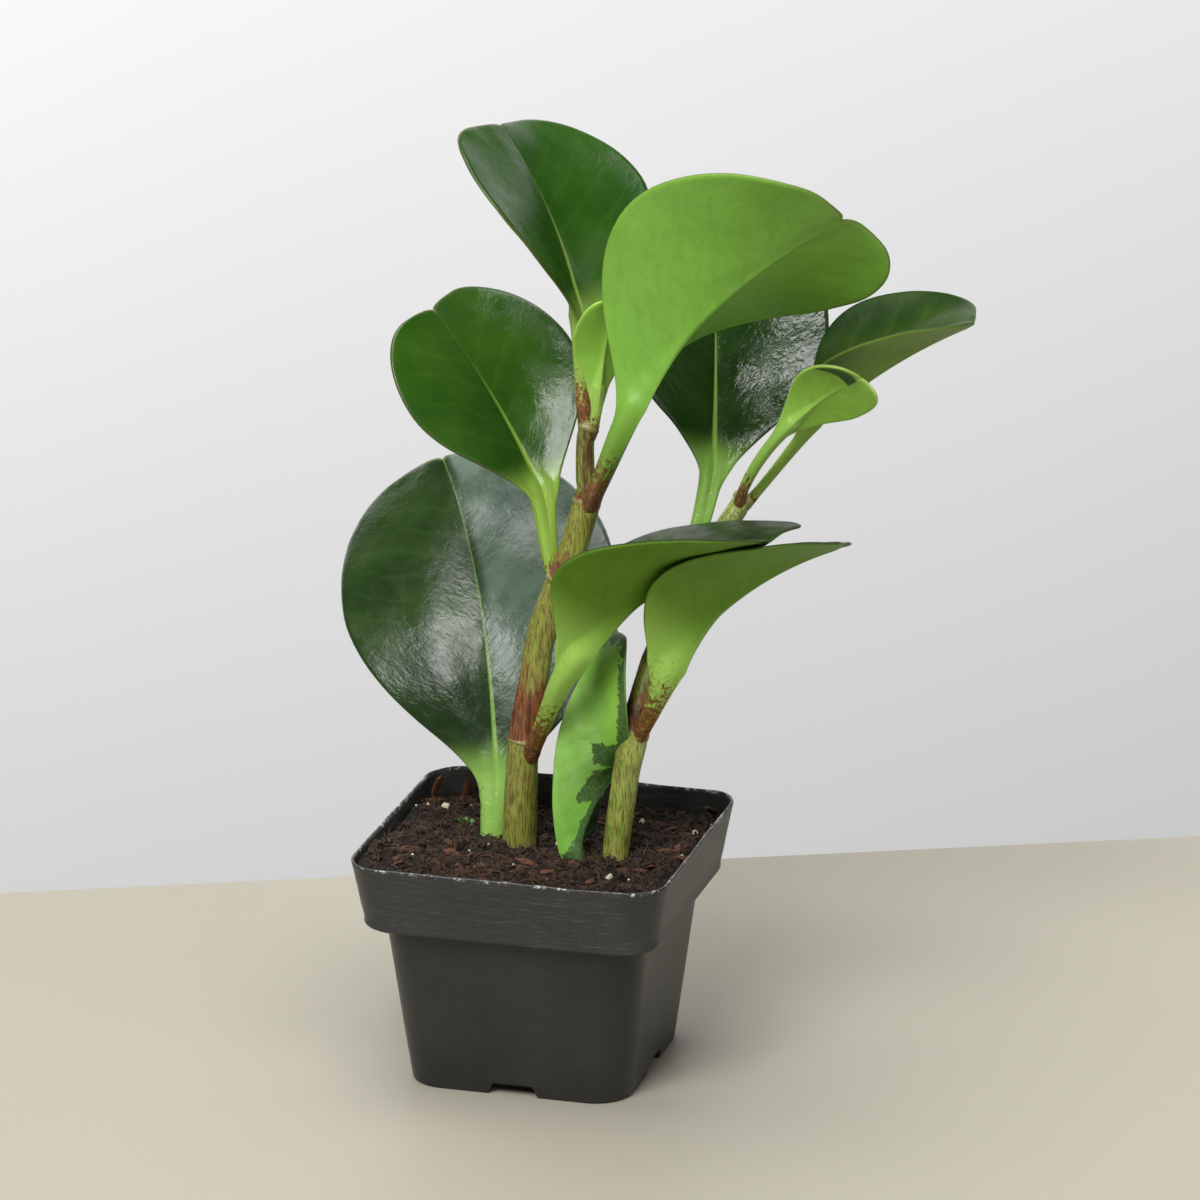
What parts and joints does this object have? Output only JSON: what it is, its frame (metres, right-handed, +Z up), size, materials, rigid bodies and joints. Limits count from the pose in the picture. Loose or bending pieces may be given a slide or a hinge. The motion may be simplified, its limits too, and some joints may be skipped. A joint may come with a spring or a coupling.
{
  "type": "potted peperomia",
  "caption": "Small potted peperomia: thick obovate leaves on short green stalks and upright stems, rooted in dark soil in a square black nursery pot with a collar.",
  "frame": {"origin": "centre of the pot's underside", "axes": "+Z up along the plant, faces of the square pot along X and Y, front of the pot towards -Y"},
  "size_m": [0.2087, 0.1458, 0.3024],
  "materials": {
    "leaf": "thick waxy leaf, dark glossy green above, paler and duller green below, thin red-brown margin",
    "leaf_young": "soft young leaf, light yellow-green, slightly glossy",
    "stem": "smooth fleshy stem, yellow-green with red-brown streaks and swollen leaf nodes",
    "pot_plastic": "thin blow-moulded black nursery plastic, satin, fine scuffs on the collar",
    "soil": "moist dark brown peat mix with bark chips and a few pale grains"
  },
  "bodies": {
    "root": {"leaf_lower_left": "leaf", "leaf_middle_left": "leaf", "leaf_top_left": "leaf", "leaf_top_right": "leaf", "leaf_young": "leaf_young", "leaf_back": "leaf", "leaf_right": "leaf", "leaf_curled": "leaf_young", "leaf_middle": "leaf", "leaf_lower_right": "leaf", "leaf_lower_middle": "leaf", "stem_left": "stem", "stem_right": "stem", "pot": "pot_plastic", "soil": "soil"}
  },
  "joints": []
}
